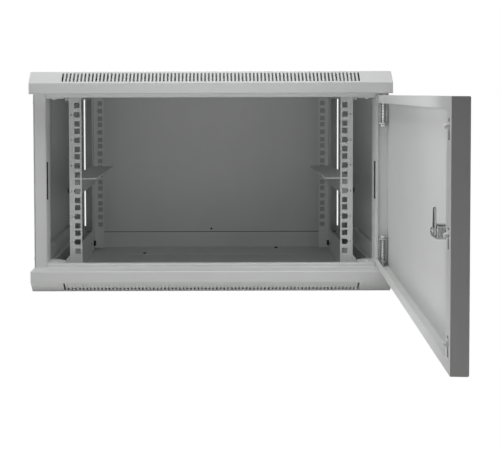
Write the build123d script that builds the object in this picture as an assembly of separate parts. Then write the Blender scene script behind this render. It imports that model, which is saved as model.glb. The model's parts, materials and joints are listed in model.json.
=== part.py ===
from build123d import *
import os
from math import atan2, cos, degrees, hypot, radians, sin

# Wall mount network cabinet for 19 inch equipment, folded from powder coated steel sheet.
# Frame: +X right as seen from the front, +Y back to the wall, +Z up, in millimetres.
# The origin is in the wall plane, at the centre of the four wall bolt holes.
# The door is modelled closed and then turned open about its hinge pins.

os.makedirs("parts", exist_ok=True)

# Cabinet as a whole
cabinet_width = 600.0
cabinet_depth = 450.0
rack_units = 6
unit_height = 44.45
height_beyond_rack = 101.3  # what the covers add to the rack's own height
cabinet_height = rack_units * unit_height + height_beyond_rack

# Sheet metal
cover_sheet = 1.2
post_sheet = 1.5
side_sheet = 1.0
rear_sheet = 1.0
rail_sheet = 1.5
door_sheet = 1.2
plate_sheet = 1.0
bend_radius = 1.0  # inside of each fold
seat_gap = 0.3  # between pieces that are set beside each other
past = 1.0  # how far a cutter runs beyond a face

# Cover nose, ledge and lip
nose_overhang = 34.5  # from the front of the cover back to the posts
nose_height = 37.0
bevel_height = 19.0
bevel_depth = 18.0
lip_height = 6.0
lip_return = 12.0
rear_recess = 3.0
slot_pitch = 6.2
slot_margin = 52.0  # from the cabinet's side to the first slot's pitch
slot_width = 3.0
slot_length = 19.6
baffle_sheet = 0.8
baffle_flange = 10.0
baffle_open = 8.5  # of the bevel's lower end, left free for air

# Posts
side_inset = 0.4  # of the side panels' outer faces
post_face = 20.2
front_post_return = 35.0
front_post_side = 20.0
rear_post_face = 25.6
rear_post_return = 12.0
rear_post_side = 30.0
lock_slot_height = 64.0
lock_slot_depth = 9.0
post_seat_depth = 22.0
wall_hole_radius = 4.0
wall_hole_inset = 15.6  # from the post's outer edge
wall_hole_rise = 220.0  # between the upper and the lower holes
rear_screw_inset = 21.0  # from the rear posts' inner edges

# Rear panel
rear_panel_rise = 35.0  # its edge above the cabinet's foot
rear_panel_lap = 12.0
rear_panel_slit = 3.0
rear_panel_hem = 12.0

# 19 inch rails
rack_margin = 75.0  # leaves 450 mm between the rails
rack_hole_inset = 7.55  # hole columns are then 465.1 mm apart
rack_hole = 9.5
unit_holes = (6.35, 22.225, 38.1)  # above the foot of each unit
unit_notch_width = 1.6
unit_notch_height = 3.2
rail_face = 21.5
rail_flange = 28.0
rail_end_gap = 8.0
rail_bolt_rise = 20.0  # above the cabinet's foot
rail_slot_height = 12.0
front_rail_setback = 79.0  # rail face behind the front of the covers
rear_rail_setback = 398.0

# Rail supports and side beams
support_height = 46.8
support_foot = 21.5
support_front_gap = 15.0
support_slot_length = 40.0  # lets a rail be set nearer or further back
beam_height = 56.8
beam_step_height = 32.0
beam_step_depth = 7.8
beam_width = 16.6
gusset_width = 29.0
gusset_depth = 36.0
gusset_corner_cut = 14.5
gusset_screw_inset = 14.0  # from the post's inner edge

# Shelf brackets
shelf_flange = 46.0
shelf_web = 40.0
shelf_flange_front = 82.0
shelf_flange_back = 345.0
shelf_nose_cut = 9.0
shelf_bolt_drop = 22.225
shelf_hole_radius = 2.6
shelf_hole_drop = 32.0
shelf_hole_inset = 20.0  # from the rear end

# Cable entries and fan plates
cable_entry_width = 335.0
cable_entry_depth = 58.0
cable_entry_margin = 28.0  # from the wall plane
cable_plate_lap = 7.0
cable_plate_screw_inset = 30.0
fan_radius = 57.0
fan_plate_rim = 9.0
fan_bolt_spacing = 104.8
fan_bolt_radius = 2.2
fan_setback = 235.0

# Door and hinge
door_edge_gap = 2.0
door_ledge_gap = 3.0
door_thickness = 20.0
door_front_setback = 9.0  # behind the front of the covers
door_lip = 13.0
door_hinge_lip = 12.0
door_lock_lip = 24.0
door_open_angle = 86.8
lip_slot_width = 6.0
lip_slot_length = 11.0
lip_slot_gap = 0.5  # below the bumper
lip_notch_length = 3.2
lip_notch_gap = 2.0  # above the bumper
pin_inset = 10.0  # hinge axis from the door's hinge side edge
pin_radius = 3.0
pin_clearance = 0.05
pin_reach = 8.0  # beyond the door's edge
pin_tip_chamfer = 1.0
bracket_sheet = 1.5
bracket_height = 40.0
bracket_inset = 8.0
bracket_width = 15.0
ear_reach = 7.0
ear_corner_cut = 4.2
clip_radius = 5.5
clip_thickness = 1.0
knob_radius = 4.5
knob_height = 5.0
knob_sides = 12
knob_chamfer = 1.1
spring_radius = 4.2
spring_wire = 0.8
spring_turns = 6
spring_steps = 8  # straight runs in one turn
bumper_radius = 3.0
bumper_height = 5.2
bumper_rise = 113.0
bumper_inset = 12.0
bumper_chamfer = 0.7
bumper_sides = 12
bumper_stem_radius = 1.5
bumper_stem_reach = 2.0  # behind the door's lip

# Cam lock
lock_backset = 38.0  # lock axis from the door's free edge
lock_radius = 8.75
lock_flange_radius = 11.5
lock_flange_height = 2.5
lock_flange_chamfer = 0.8
lock_length = 28.0  # from the door's front face
lock_sides = 24
plug_radius = 6.0
plug_clearance = 0.05
nut_width = 22.0
nut_height = 4.0
cam_reach = 26.5
cam_width = 13.0
cam_tip_width = 9.0
cam_thickness = 2.0
cam_square = 6.0
cam_screw_radius = 4.6
cam_screw_height = 2.6
key_slot_width = 1.4
key_slot_height = 7.0

# Fasteners
hole_clearance = 0.2
bolt_radius = 3.0
bolt_head_width = 10.0
bolt_head_height = 4.0
screw_radius = 2.0
screw_head_radius = 3.8
screw_head_height = 2.2
screw_reach = 3.0  # beyond the sheets that a screw holds
thread_end = 1.0  # of a bolt beyond its nut
side_screw_drop = 14.0  # from the ends of the posts
stud_radius = 3.0
stud_length = 16.0
stud_setback = 250.0

screw_hole = screw_radius + hole_clearance
bolt_hole = bolt_radius + hole_clearance
half_width = cabinet_width / 2
half_height = cabinet_height / 2
slot_count = round((cabinet_width - 2 * slot_margin) / slot_pitch)
rack_opening = cabinet_width - 2 * rack_margin
rack_hole_spacing = rack_opening + 2 * rack_hole_inset
front = -cabinet_depth
body_front = front + nose_overhang
foot = -half_height
floor = foot + cover_sheet
ledge = foot + nose_height
lip_top = ledge + lip_height
hinge_y = front + door_front_setback + door_thickness / 2
door_half_width = half_width - door_edge_gap
door_half_height = -ledge - door_ledge_gap
hinge_x = door_half_width - pin_inset
side_outer = half_width - side_inset
post_outer = side_outer - side_sheet
post_inner = post_outer - post_face
rear_post_inner = post_outer - rear_post_face
rail_outer = rack_opening / 2 + rail_face
rail_top = half_height - rail_end_gap
rear_panel_y = -rear_recess - cover_sheet
rear_panel_front = rear_panel_y - 2 * rear_sheet
front_rail_y = front + front_rail_setback
rear_rail_y = front + rear_rail_setback


def place(axis, along, u, v):
    if axis == "X":
        return (along, u, v)
    if axis == "Y":
        return (u, along, v)
    return (u, v, along)


def prism(outline, axis, start, end):
    """A solid with a flat outline, given in the two other axes, from start to end along an axis."""
    corners = [place(axis, start, u, v) for u, v in outline]
    return extrude(make_face(Polyline(*corners, close=True)), amount=end - start, dir=place(axis, 1, 0, 0))


def block(x0, x1, y0, y1, z0, z1):
    return prism([(x0, y0), (x1, y0), (x1, y1), (x0, y1)], "Z", z0, z1)


def rod(axis, centre, radius, start, end):
    """A round bar along an axis; centre is given in the two other axes."""
    plane = Plane(origin=place(axis, start, *centre), z_dir=place(axis, 1, 0, 0))
    return extrude(plane * Circle(radius), amount=end - start)


def offset_path(points, distance):
    """The same path moved sideways, to its left, with its corners mitred."""
    normals = []
    for (u0, v0), (u1, v1) in zip(points, points[1:]):
        length = hypot(u1 - u0, v1 - v0)
        normals.append((-(v1 - v0) / length, (u1 - u0) / length))
    moved = []
    for i, (u, v) in enumerate(points):
        before = normals[max(i - 1, 0)]
        after = normals[min(i, len(normals) - 1)]
        scale = distance / (1 + before[0] * after[0] + before[1] * after[1])
        moved.append((u + (before[0] + after[0]) * scale, v + (before[1] + after[1]) * scale))
    return moved


def turns_left(points):
    """For each inner corner of a path, whether the path turns to its left there."""
    left = []
    for (u0, v0), (u1, v1), (u2, v2) in zip(points, points[1:], points[2:]):
        left.append((u1 - u0) * (v2 - v1) - (v1 - v0) * (u2 - u1) > 0)
    return left


def bent_line(points, radii, axis, along):
    return FilletPolyline(*[place(axis, along, u, v) for u, v in points], radius=radii)


def creased(points, sheet, axis, start, end):
    """Folded sheet inside the cabinet, with its folds left sharp."""
    return prism([*points, *reversed(offset_path(points, sheet))], axis, start, end)


def folded(points, sheet, axis, start, end):
    """Folded sheet: points follow one skin, and the sheet lies to the left of them."""
    left = turns_left(points)
    skin_radii = [bend_radius + sheet if turn else bend_radius for turn in left]
    back_radii = [bend_radius if turn else bend_radius + sheet for turn in left]
    skin = bent_line(points, skin_radii, axis, start)
    back = bent_line(offset_path(points, sheet), back_radii, axis, start)
    outline = [*skin.edges(), Line(skin @ 1, back @ 1), *back.edges(), Line(back @ 0, skin @ 0)]
    return extrude(make_face(outline), amount=end - start, dir=place(axis, 1, 0, 0))


def left_and_right(shape):
    """The same shape on the right, as modelled, and mirrored to the left."""
    return {"right": shape, "left": mirror(shape, about=Plane.YZ)}


def upper(shape):
    """A lower shape mirrored to the top of the cabinet."""
    return mirror(shape, about=Plane.XY)


def opened(shape):
    """A piece of the closed door, turned open about the hinge pins."""
    return Pos(hinge_x, hinge_y, 0) * Rot(0, 0, door_open_angle) * Pos(-hinge_x, -hinge_y, 0) * shape


def polygon_rod(axis, centre, radius, sides, start, end):
    """A bar with flat sides; radius is to its corners."""
    turns = [radians(360 * (i + 0.5) / sides) for i in range(sides)]
    points = [(centre[0] + radius * cos(turn), centre[1] + radius * sin(turn)) for turn in turns]
    return prism(points, axis, start, end)


def hexagon(axis, centre, width, start, end):
    return polygon_rod(axis, centre, width / 2 / cos(radians(30)), 6, start, end)


def sleeve(axis, centre, radius, sides, start, end):
    """A bore with flat sides that just clears a round bar of the radius."""
    return polygon_rod(axis, centre, radius / cos(radians(180 / sides)), sides, start, end)


def small_rod(axis, centre, radius, start, end):
    """Screws and their punched holes are eight sided, which keeps the many small ones light."""
    return polygon_rod(axis, centre, radius, 8, min(start, end), max(start, end))


def save(shape, node):
    shape.label = node
    export_step(shape, f"parts/{node}.step")


def group(solids):
    return Compound(children=[solid for shape in solids for solid in shape.solids()])


# Covers
def cover_slots():
    """Cutters for the row of slots through the lower cover's bevel."""
    slope = degrees(atan2(bevel_height, bevel_depth))
    centre = Pos(0, front + bevel_depth / 2, foot + bevel_height / 2) * Rot(-slope, 0, 0)
    reach = 4 * cover_sheet
    first = -(slot_count - 1) * slot_pitch / 2
    cutter = Box(slot_width, slot_length, reach)
    return [centre * Pos(first + i * slot_pitch, 0, 0) * cutter for i in range(slot_count)]


def cover():
    """The bottom cover: nose, ledge, lip, floor, rear upstand and sides; the top one mirrors it."""
    post_edge = post_inner - seat_gap
    rear_edge = rear_post_inner - seat_gap
    nose = [(front, ledge), (front, foot + bevel_height), (front + bevel_depth, foot)]
    middle = [(body_front, ledge), *nose, (-rear_recess, foot),
              (-rear_recess, foot + rear_panel_rise + rear_panel_lap)]
    outer = [(body_front + post_seat_depth, ledge), *nose, (0, foot)]
    lip = [(body_front + lip_return, lip_top), (body_front, lip_top), (body_front, ledge),
           (body_front - lip_height, ledge)]
    end_skin = FilletPolyline(*[(half_width, y, z) for y, z in [(0, ledge), *nose, (0, foot)]],
                              radius=bend_radius + cover_sheet)
    end_outline = make_face([*end_skin.edges(), Line(end_skin @ 1, end_skin @ 0)])
    end = extrude(end_outline, amount=cover_sheet, dir=(-1, 0, 0))
    shape = folded(middle, cover_sheet, "X", -rear_edge, rear_edge)
    shape += folded(lip, cover_sheet, "X", -post_edge, post_edge)
    corner = folded(outer, cover_sheet, "X", rear_edge, half_width - cover_sheet / 2)
    for side in (corner, end):
        shape += [side, mirror(side, about=Plane.YZ)]
    return shape - cover_slots()


def slot_baffle():
    """A strip behind the slots, hung from the inside of the nose, that leaves their lower ends open."""
    nose = [(front, ledge), (front, foot + bevel_height), (front + bevel_depth, foot)]
    inner = offset_path(nose, cover_sheet)
    (y0, z0), (y1, z1) = inner[1:]
    part = 1 - baffle_open / hypot(bevel_height, bevel_depth)
    path = [(y0, z0 + baffle_flange), (y0, z0), (y0 + part * (y1 - y0), z0 + part * (z1 - z0))]
    reach = (slot_count / 2 - 1) * slot_pitch - slot_width / 2
    return folded(path, baffle_sheet, "X", -reach, reach)


def cable_opening(low, high):
    half = cable_entry_width / 2
    return block(-half, half, -cable_entry_margin - cable_entry_depth, -cable_entry_margin, low, high)


def cable_plate_screw_places():
    y = -cable_entry_margin - cable_entry_depth / 2
    reach = cable_entry_depth / 2 + cable_plate_lap / 2
    span = cable_entry_width / 2 - cable_plate_screw_inset
    return [(side * span, y + side * reach) for side in (-1, 1)]


def cable_plate():
    half = cable_entry_width / 2 + cable_plate_lap
    back = -cable_entry_margin + cable_plate_lap
    near = -cable_entry_margin - cable_entry_depth - cable_plate_lap
    shape = block(-half, half, near, back, floor, floor + plate_sheet)
    shape -= [small_rod("Z", at, screw_hole, foot, ledge) for at in cable_plate_screw_places()]
    return shape


def fan_corners():
    half = fan_bolt_spacing / 2
    return [(fan_centre[0] + x, fan_centre[1] + y) for x in (-half, half) for y in (-half, half)]


def fan_plate_screw_places():
    reach = fan_radius + fan_plate_rim / 2
    return [(fan_centre[0] + side * reach, fan_centre[1]) for side in (-1, 1)]


def fan_cuts(low, high):
    """The round fan opening in the roof, its four bolt holes and the blanking plate's screw holes."""
    cuts = [rod("Z", fan_centre, fan_radius, low, high)]
    cuts += [rod("Z", at, fan_bolt_radius, low, high) for at in fan_corners()]
    return cuts + [small_rod("Z", at, screw_hole, low, high) for at in fan_plate_screw_places()]


def fan_plate():
    """A blanking plate under the roof; a fan's own bolts pass through its corner holes."""
    half = fan_radius + fan_plate_rim
    x, y = fan_centre
    roof = half_height - cover_sheet
    lid = roof - plate_sheet
    shape = block(x - half, x + half, y - half, y + half, lid, roof)
    holes = [small_rod("Z", at, fan_bolt_radius + 2 * hole_clearance, lid, roof) for at in fan_corners()]
    holes += [small_rod("Z", at, screw_hole, lid, roof) for at in fan_plate_screw_places()]
    return shape - holes


fan_centre = (0, -fan_setback)

rear_screw_x = (-rear_post_inner + rear_screw_inset, 0, rear_post_inner - rear_screw_inset)
rear_screw_z = foot + rear_panel_rise + rear_panel_lap / 2
rear_screw_places = [(x, z) for x in rear_screw_x for z in (rear_screw_z, -rear_screw_z)]
gusset_screw = (post_inner - gusset_screw_inset, body_front + lip_return / 2)
side_screw_y = (body_front + front_post_side / 2, -rear_post_side / 2)
side_screw_z = -ledge - side_screw_drop

lower_cover = cover()
cuts = [rod("Z", (hinge_x, hinge_y), pin_radius + pin_clearance, ledge - cover_sheet - past, ledge + past),
        cable_opening(foot - past, floor + past)]
cuts += [small_rod("Y", at, screw_hole, rear_panel_y - past, 0) for at in rear_screw_places if at[1] < 0]
cuts += [small_rod("Z", (x, gusset_screw[1]), screw_hole, ledge + past, lip_top + past)
         for x in (-gusset_screw[0], gusset_screw[0])]
cuts += [small_rod("Z", at, screw_hole, foot - past, floor + past) for at in cable_plate_screw_places()]
lower_cover -= cuts
upper_cover = upper(lower_cover)
upper_cover -= fan_cuts(half_height - cover_sheet - past, half_height + past)
save(lower_cover, "bottom_cover")
save(upper_cover, "top_cover")
save(slot_baffle(), "slot_baffle")
save(cable_plate(), "bottom_cable_plate")
save(upper(cable_plate()), "top_cable_plate")
save(fan_plate(), "fan_plate")


# Posts
def front_post():
    path = [(post_inner, body_front + front_post_return), (post_inner, body_front),
            (post_outer, body_front), (post_outer, body_front + front_post_side)]
    shape = folded(path, post_sheet, "Z", ledge, -ledge)
    slot_front = body_front + post_sheet + bend_radius
    slot = block(post_inner - past, post_inner + post_sheet + past,
                 slot_front, slot_front + lock_slot_depth, -lock_slot_height / 2, lock_slot_height / 2)
    holes = [small_rod("X", (side_screw_y[0], z), screw_hole, post_outer - 2 * post_sheet, half_width)
             for z in (-side_screw_z, side_screw_z)]
    return shape - [slot, *holes]


def rear_post():
    path = [(post_outer, -rear_post_side), (post_outer, 0), (rear_post_inner, 0),
            (rear_post_inner, -rear_post_return)]
    shape = folded(path, post_sheet, "Z", floor, -floor)
    bolt_x = post_outer - wall_hole_inset
    cuts = [rod("Y", (bolt_x, z), wall_hole_radius, -post_sheet - past, past)
            for z in (-wall_hole_rise / 2, wall_hole_rise / 2)]
    cuts += [small_rod("X", (side_screw_y[1], z), screw_hole, post_outer - 2 * post_sheet, half_width)
             for z in (-side_screw_z, side_screw_z)]
    return shape - cuts


for side, shape in left_and_right(front_post()).items():
    save(shape, f"front_{side}_post")
for side, shape in left_and_right(rear_post()).items():
    save(shape, f"rear_{side}_post")


# Panels
def side_panel():
    edge = -ledge - seat_gap
    shape = block(post_outer, side_outer, body_front, 0, -edge, edge)
    holes = [small_rod("X", (y, z), screw_hole, post_outer - past, half_width)
             for y in side_screw_y for z in (-side_screw_z, side_screw_z)]
    return shape - holes


def rear_panel():
    edge = rear_post_inner - rear_panel_slit
    top = half_height - rear_panel_rise
    shape = block(-edge, edge, rear_panel_y - rear_sheet, rear_panel_y, -top, top)
    hem = block(-edge, edge, rear_panel_front, rear_panel_y - rear_sheet, -top, rear_panel_hem - top)
    shape += [hem, upper(hem)]
    return shape - [small_rod("Y", at, screw_hole, rear_panel_front - past, 0) for at in rear_screw_places]


for side, shape in left_and_right(side_panel()).items():
    save(shape, f"{side}_side_panel")
save(rear_panel(), "rear_panel")


# Side beams, rail supports and gussets
def side_beam():
    inner = post_outer - post_sheet - seat_gap - beam_width
    outer = inner + beam_width
    top = floor + beam_height
    step = floor + beam_step_height
    path = [(outer, top), (inner + beam_step_depth, top), (inner + beam_step_depth, step),
            (inner, step), (inner, floor), (outer, floor)]
    return creased(path, post_sheet, "Y", body_front + post_seat_depth + seat_gap, -post_sheet - seat_gap)


rail_bolt_z = foot + rail_bolt_rise


def rail_bolt_places():
    """Depth and height of the bolts that hold the lower ends of the front and rear rails."""
    return [(front_rail_y + rail_flange / 2, rail_bolt_z), (rear_rail_y - rail_flange / 2, rail_bolt_z)]


def rail_support():
    path = [(rail_outer, floor + support_height), (rail_outer, floor), (rail_outer + support_foot, floor)]
    start = body_front + support_front_gap
    shape = creased(path, post_sheet, "Y", start, rear_panel_front - seat_gap)
    slots = []
    for y, z in rail_bolt_places():
        reach = support_slot_length / 2
        slots.append(block(rail_outer - past, rail_outer + post_sheet + past, y - reach, y + reach,
                           z - bolt_hole, z + bolt_hole))
    return shape - slots


def gusset():
    inner = post_inner - seat_gap - gusset_width
    outer = post_inner - seat_gap
    near = body_front + post_sheet
    far = near + gusset_depth
    outline = [(inner, near), (outer, near), (outer, far), (inner + gusset_corner_cut, far),
               (inner, far - gusset_corner_cut)]
    shape = prism(outline, "Z", lip_top, lip_top + post_sheet)
    return shape - small_rod("Z", gusset_screw, screw_hole, lip_top - past, lip_top + post_sheet + past)


for side, shape in left_and_right(side_beam()).items():
    save(shape, f"lower_{side}_side_beam")
    save(upper(shape), f"upper_{side}_side_beam")
for side, shape in left_and_right(rail_support()).items():
    save(shape, f"lower_{side}_rail_support")
    save(upper(shape), f"upper_{side}_rail_support")
for side, shape in left_and_right(gusset()).items():
    save(shape, f"lower_{side}_gusset")
    save(upper(shape), f"upper_{side}_gusset")


# 19 inch rails
def shelf_bolt_places():
    reach = rail_flange / 2
    return [(front_rail_y + reach, -shelf_bolt_drop), (rear_rail_y - reach, -shelf_bolt_drop)]


def rack_rail(face_y, inward):
    """A right-hand rail; inward is 1 where its side flange runs back from the face, -1 forward."""
    rear = face_y + inward * rail_flange
    path = [(rail_outer, rear), (rail_outer, face_y), (rail_outer - rail_face, face_y)]
    if inward > 0:
        path.reverse()
    shape = creased(path, rail_sheet, "Z", -rail_top, rail_top)
    hole_x = rack_hole_spacing / 2
    bottom = -rack_units * unit_height / 2
    reach = rail_sheet + past
    cuts = []
    for unit in range(rack_units):
        for rise in unit_holes:
            z = bottom + unit * unit_height + rise
            cuts.append(block(hole_x - rack_hole / 2, hole_x + rack_hole / 2,
                              face_y - reach, face_y + reach, z - rack_hole / 2, z + rack_hole / 2))
        z = bottom + unit * unit_height + unit_holes[1]
        edge = hole_x + rack_hole / 2
        cuts.append(block(edge - past, edge + unit_notch_width, face_y - reach, face_y + reach,
                          z - unit_notch_height / 2, z + unit_notch_height / 2))
    middle = face_y + inward * rail_flange / 2
    half = bolt_hole
    for z in (rail_bolt_z, -shelf_bolt_drop, -rail_bolt_z):
        cuts.append(block(rail_outer - reach, rail_outer + past, middle - half, middle + half,
                          z - rail_slot_height / 2, z + rail_slot_height / 2))
    return shape - cuts


for side, shape in left_and_right(rack_rail(front_rail_y, 1)).items():
    save(shape, f"front_{side}_rack_rail")
for side, shape in left_and_right(rack_rail(rear_rail_y, -1)).items():
    save(shape, f"rear_{side}_rack_rail")


# Shelf brackets
shelf_outer = rail_outer - rail_sheet


def shelf_bracket():
    near = front + shelf_flange_front
    back = front + shelf_flange_back
    far = rear_rail_y - rail_sheet - bend_radius - seat_gap
    path = [(shelf_outer, -shelf_web), (shelf_outer, 0), (shelf_outer - shelf_flange, 0)]
    shape = creased(path, rail_sheet, "Y", near, back)
    web = prism([(back, -shelf_web), (far, -shelf_web), (far, -shelf_nose_cut), (far - shelf_nose_cut, 0),
                 (back, 0)], "X", shelf_outer - rail_sheet, shelf_outer)
    shape += web
    holes = [(at, bolt_hole) for at in shelf_bolt_places()]
    holes.append(((far - shelf_hole_inset, -shelf_hole_drop), shelf_hole_radius))
    return shape - [small_rod("X", at, radius, shelf_outer - 2 * rail_sheet, shelf_outer + past)
                    for at, radius in holes]


for side, shape in left_and_right(shelf_bracket()).items():
    save(shape, f"{side}_shelf_bracket")


# Fasteners
def bolt(at, head_x, tip_x):
    """A hexagon bolt along X on the right-hand side, head towards the middle of the cabinet."""
    head = hexagon("X", at, bolt_head_width, head_x - bolt_head_height, head_x)
    return head + small_rod("X", at, bolt_radius, head_x, tip_x)


def bolt_nut(at, face_x):
    nut = hexagon("X", at, bolt_head_width, face_x, face_x + bolt_head_height)
    return nut - small_rod("X", at, bolt_radius + pin_clearance, face_x, face_x + bolt_head_height)


def screw(axis, at, seat, tip):
    """A pan head screw; its head is on the far side of its seat from its tip."""
    way = 1 if tip > seat else -1
    head_end = seat - way * screw_head_height
    head = small_rod(axis, at, screw_head_radius, seat, head_end)
    return head + small_rod(axis, at, screw_radius, seat, tip)


def both_sides(shapes):
    return [*shapes, *[mirror(shape, about=Plane.YZ) for shape in shapes]]


def both_ends(shapes):
    return [*shapes, *[upper(shape) for shape in shapes]]


bolt_tip = rail_outer + post_sheet + bolt_head_height + thread_end
rail_bolts = [bolt(at, rail_outer - rail_sheet, bolt_tip) for at in rail_bolt_places()]
rail_nuts = [bolt_nut(at, rail_outer + post_sheet) for at in rail_bolt_places()]
save(group(both_sides(both_ends(rail_bolts))), "rail_bolts")
save(group(both_sides(both_ends(rail_nuts))), "rail_nuts")

shelf_tip = rail_outer + bolt_head_height + thread_end
shelf_bolts = [bolt(at, shelf_outer - rail_sheet, shelf_tip) for at in shelf_bolt_places()]
shelf_nuts = [bolt_nut(at, rail_outer) for at in shelf_bolt_places()]
save(group(both_sides(shelf_bolts)), "shelf_bracket_bolts")
save(group(both_sides(shelf_nuts)), "shelf_bracket_nuts")

rear_tip = rear_panel_front - screw_reach
save(group([screw("Y", at, -rear_recess, rear_tip) for at in rear_screw_places]), "rear_panel_screws")

side_screws = [screw("X", (y, z), side_outer, post_outer - post_sheet - screw_reach)
               for y in side_screw_y for z in (-side_screw_z, side_screw_z)]
save(group(both_sides(side_screws)), "side_panel_screws")

gusset_screws = [screw("Z", gusset_screw, lip_top + post_sheet, lip_top - cover_sheet - screw_reach)]
save(group(both_sides(both_ends(gusset_screws))), "gusset_screws")

plate_screws = [screw("Z", at, floor + plate_sheet, foot + seat_gap) for at in cable_plate_screw_places()]
save(group(both_ends(plate_screws)), "cable_plate_screws")

fan_screws = [screw("Z", at, half_height - cover_sheet - plate_sheet, half_height - seat_gap)
              for at in fan_plate_screw_places()]
save(group(fan_screws), "fan_plate_screws")

stud_foot = floor + post_sheet
stud_x = rail_outer + (support_foot + post_sheet) / 2
save(rod("Z", (stud_x, -stud_setback), stud_radius, stud_foot, stud_foot + stud_length), "ground_stud")


# Door
door_front = front + door_front_setback
door_back = door_front + door_thickness
lock_x = -door_half_width + lock_backset


bumper_x = -door_half_width + bumper_inset
bumper_places = [(bumper_x, z) for z in (-bumper_rise, 0, bumper_rise)]


def lip_cuts():
    """Each bumper's stem hole, with a long slot below it and a short one above it."""
    low, high = door_back - 2 * door_sheet, door_back + past
    cuts = []
    for x, z in bumper_places:
        slot_top = z - bumper_radius - lip_slot_gap
        notch_foot = z + bumper_radius + lip_notch_gap
        for z0, z1 in ((slot_top - lip_slot_length, slot_top), (notch_foot, notch_foot + lip_notch_length)):
            cuts.append(block(x - lip_slot_width / 2, x + lip_slot_width / 2, low, high, z0, z1))
        cuts.append(small_rod("Y", (x, z), bumper_stem_radius + hole_clearance, low, high))
    return cuts


def door_panel():
    outer = block(-door_half_width, door_half_width, door_front, door_back,
                  -door_half_height, door_half_height)
    outer = fillet(outer.faces().sort_by(Axis.Y)[0].edges(), bend_radius + door_sheet)
    inner = block(-door_half_width + door_sheet, door_half_width - door_sheet, door_front + door_sheet,
                  door_back - door_sheet, -door_half_height + door_sheet, door_half_height - door_sheet)
    inner = fillet(inner.faces().sort_by(Axis.Y)[0].edges(), bend_radius)
    window = block(-door_half_width + door_lock_lip, door_half_width - door_hinge_lip,
                   door_back - 2 * door_sheet, door_back + past,
                   -door_half_height + door_lip, door_half_height - door_lip)
    shape = outer - inner - window
    pin_holes = rod("Z", (hinge_x, hinge_y), pin_radius + pin_clearance, -half_height, half_height)
    lock_hole = rod("Y", (lock_x, 0), lock_radius + hole_clearance, door_front - past,
                    door_front + door_sheet + past)
    return shape - [pin_holes, lock_hole, *lip_cuts()]


save(opened(door_panel()), "door_panel")


# Hinge brackets and sprung pins, modelled at the top of the door
bracket_top = door_half_height - bracket_inset
bracket_foot = bracket_top - bracket_height


def ear(z):
    """One ear of the hinge bracket, with its corners cut off round the pin and its foot at z."""
    plate_x = door_half_width - door_sheet - bracket_sheet
    edge = hinge_x - ear_reach
    side = ear_reach - ear_corner_cut
    outline = [(plate_x, hinge_y - ear_reach), (plate_x, hinge_y + ear_reach),
               (edge + ear_corner_cut, hinge_y + ear_reach), (edge, hinge_y + side),
               (edge, hinge_y - side), (edge + ear_corner_cut, hinge_y - ear_reach)]
    return prism(outline, "Z", z, z + bracket_sheet)


def hinge_bracket():
    plate_x = door_half_width - door_sheet
    half = bracket_width / 2
    shape = block(plate_x - bracket_sheet, plate_x, hinge_y - half, hinge_y + half, bracket_foot, bracket_top)
    shape += [ear(bracket_foot), ear(bracket_top - bracket_sheet)]
    return shape - sleeve("Z", (hinge_x, hinge_y), pin_radius + pin_clearance, 8, 0, half_height)


clip_top = bracket_top - bracket_sheet - seat_gap
pin_top = door_half_height + pin_reach
pin_foot = bracket_foot - seat_gap


def hinge_pin():
    shape = rod("Z", (hinge_x, hinge_y), pin_radius, pin_foot, pin_top)
    return chamfer(shape.faces().sort_by(Axis.Z)[-1].edges(), pin_tip_chamfer)


def pin_clip():
    shape = small_rod("Z", (hinge_x, hinge_y), clip_radius, clip_top - clip_thickness, clip_top)
    return shape - sleeve("Z", (hinge_x, hinge_y), pin_radius + pin_clearance, 8, 0, half_height)


def pin_knob():
    shape = polygon_rod("Z", (hinge_x, hinge_y), knob_radius, knob_sides, pin_foot - knob_height, pin_foot)
    return chamfer(shape.faces().sort_by(Axis.Z)[0].edges(), knob_chamfer)


spring_foot = bracket_foot + bracket_sheet
spring_height = clip_top - clip_thickness - spring_foot


def pin_spring():
    """An open coil round the pin, of short straight runs, so that it stays light."""
    low = spring_foot + seat_gap + spring_wire / 2
    rise = spring_height - spring_wire - 2 * seat_gap
    steps = spring_turns * spring_steps
    route = []
    for i in range(steps + 1):
        turn = radians(360 * i / spring_steps)
        route.append((hinge_x + spring_radius * cos(turn), hinge_y + spring_radius * sin(turn),
                      low + rise * i / steps))
    path = Polyline(*route)
    section = Plane(origin=route[0], x_dir=(1, 0, 0), z_dir=path % 0) * Rectangle(spring_wire, spring_wire)
    return sweep(section, path=path, transition=Transition.RIGHT)


for piece, shape in {
    "hinge_bracket": hinge_bracket(),
    "hinge_pin": hinge_pin(),
    "pin_clip": pin_clip(),
    "pin_knob": pin_knob(),
    "pin_spring": pin_spring(),
}.items():
    save(opened(shape), f"upper_{piece}")
    save(opened(upper(shape)), f"lower_{piece}")


# Bumpers on the lip at the door's free side
def bumper(at):
    shape = polygon_rod("Y", at, bumper_radius, bumper_sides, door_back, door_back + bumper_height)
    shape = chamfer(shape.faces().sort_by(Axis.Y)[-1].edges(), bumper_chamfer)
    stem_end = door_back - door_sheet - bumper_stem_reach
    return shape + small_rod("Y", at, bumper_stem_radius, stem_end, door_back)


save(opened(group([bumper(at) for at in bumper_places])), "door_bumpers")

# Cam lock
lock_seat = door_front + door_sheet
lock_end = door_front + lock_length
lock_axis = (lock_x, 0)
plug_end = lock_end + seat_gap


def lock_body():
    near = door_front - lock_flange_height
    shape = polygon_rod("Y", lock_axis, lock_flange_radius, lock_sides, near, door_front)
    shape = chamfer(shape.faces().sort_by(Axis.Y)[0].edges(), lock_flange_chamfer)
    shape += polygon_rod("Y", lock_axis, lock_radius, lock_sides, door_front, lock_end)
    return shape - sleeve("Y", lock_axis, plug_radius + plug_clearance, lock_sides, near - past, lock_end + past)


def lock_nut():
    shape = hexagon("Y", lock_axis, nut_width, lock_seat, lock_seat + nut_height)
    bore = sleeve("Y", lock_axis, lock_radius + pin_clearance, 12, lock_seat, lock_seat + nut_height)
    return shape - bore


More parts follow.
